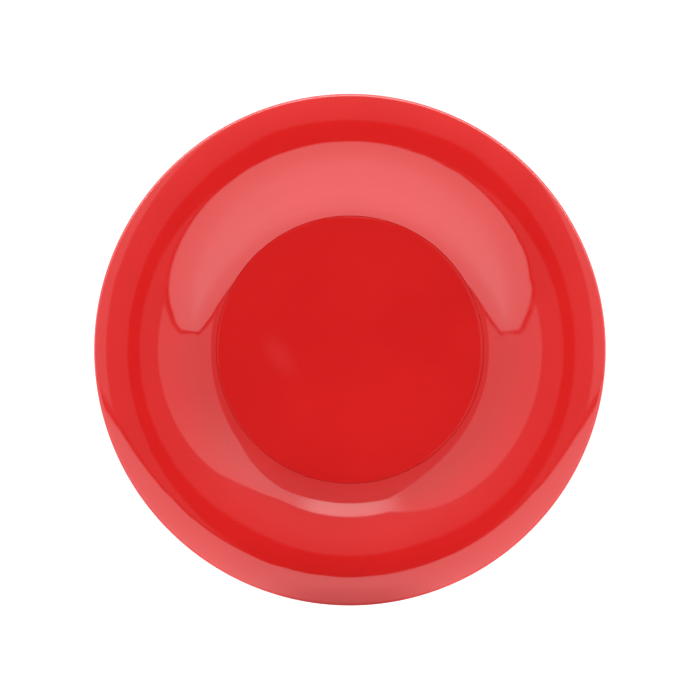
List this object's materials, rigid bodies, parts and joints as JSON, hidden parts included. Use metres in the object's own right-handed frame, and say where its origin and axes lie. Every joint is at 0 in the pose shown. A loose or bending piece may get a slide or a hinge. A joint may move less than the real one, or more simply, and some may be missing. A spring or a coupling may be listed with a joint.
{
  "type": "expanding blind flange",
  "caption": "Expanding blind flange: a glossy red dished face over a steel plate, with a rubber sleeve behind it that a screw under the centre cap squeezes against the pipe's bore.",
  "frame": {"origin": "centre of the spigot in the sealing plane, where the gasket meets the pipe's flange face", "axes": "+Z out of the red face; -Z into the pipe; X and Y across, a screw boss on +X"},
  "size_m": [0.285, 0.285, 0.1185],
  "materials": {
    "red_face": "glossy moulded red plastic",
    "plate_steel": "zinc-plated steel plate, turned",
    "machined_steel": "turned steel",
    "spigot_alloy": "turned aluminium",
    "rear_casting": "grey painted casting, machined front",
    "black_rubber": "black rubber",
    "backing_nylon": "natural nylon",
    "bush_bronze": "plain bearing bronze",
    "dark_screws": "blackened steel screws",
    "spring_steel": "phosphated spring steel"
  },
  "bodies": {
    "flange_body": {"face_shell": "red_face", "backing_plate": "plate_steel", "shell_screws": "dark_screws", "face_gasket": "black_rubber", "hub": "machined_steel", "hub_screws": "dark_screws", "hub_seal": "black_rubber", "hub_bush": "bush_bronze", "shaft_seal": "black_rubber", "thrust_washer": "bush_bronze", "back_washer": "machined_steel", "spigot_ring": "spigot_alloy", "spigot_screws": "dark_screws", "front_backing_ring": "backing_nylon", "sealing_sleeve": "black_rubber", "guide_pin_1": "machined_steel", "guide_pin_2": "machined_steel", "guide_pin_3": "machined_steel"},
    "screw_drive": {"draw_screw": "machined_steel", "hub_clip": "spring_steel", "end_clip": "spring_steel"},
    "rear_clamp": {"rear_plate": "rear_casting", "draw_nut": "plate_steel", "nut_keeper": "plate_steel", "keeper_screws": "dark_screws", "rear_backing_ring": "backing_nylon", "guide_bush_1": "bush_bronze", "guide_bush_2": "bush_bronze", "guide_bush_3": "bush_bronze"},
    "cap": {"centre_cap": "red_face", "cap_seal": "black_rubber"}
  },
  "joints": [
    {"name": "draw_screw_turn", "type": "hinge", "parent": "flange_body", "child": "screw_drive", "pos_m": [0, 0, 0], "axis": [0, 0, -1], "range_deg": [0, 2160]},
    {"name": "rear_plate_slide", "type": "slide", "parent": "flange_body", "child": "rear_clamp", "axis": [0, 0, 1], "range_m": [0, 0.012], "deforming": ["sealing_sleeve"]},
    {"name": "centre_cap_lift", "type": "slide", "parent": "flange_body", "child": "cap", "axis": [0, 0, 1], "range_m": [0, 0.03]}
  ],
  "couplings": [
    {"joint": "draw_screw_turn", "follows": "rear_plate_slide", "rad_per_m": 3141.6}
  ]
}
